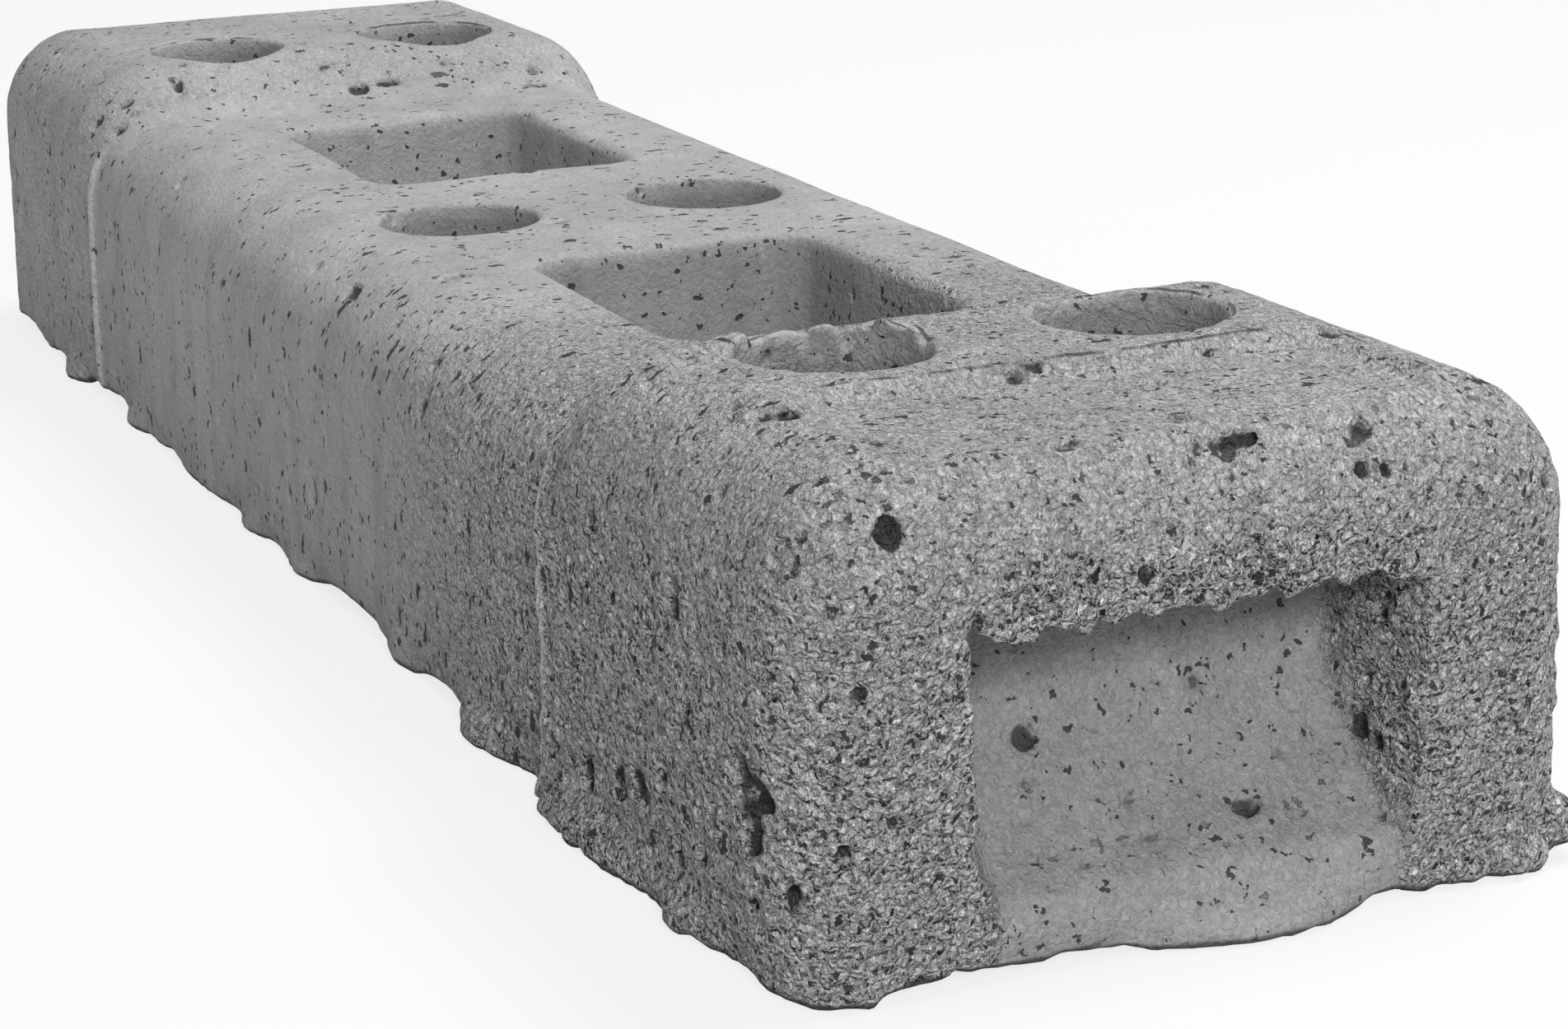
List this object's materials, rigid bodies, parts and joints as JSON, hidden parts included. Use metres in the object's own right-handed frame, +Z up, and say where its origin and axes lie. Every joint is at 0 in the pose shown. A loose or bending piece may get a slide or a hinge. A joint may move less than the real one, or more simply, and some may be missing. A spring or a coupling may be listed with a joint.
{
  "type": "concrete fence foot",
  "caption": "Low concrete block with raised ends that holds temporary fence posts in round holes, with pockets through its middle and a hand grip in each end.",
  "frame": {"origin": "centre of the flat underside, on the ground", "axes": "+X along the block's length, +Y across it, +Z up"},
  "size_m": [0.7, 0.194, 0.11],
  "materials": {
    "concrete": "rough grey cast concrete, smoother on the middle, sandy and pitted on the ends"
  },
  "bodies": {
    "root": {"foot": "concrete"}
  },
  "joints": []
}
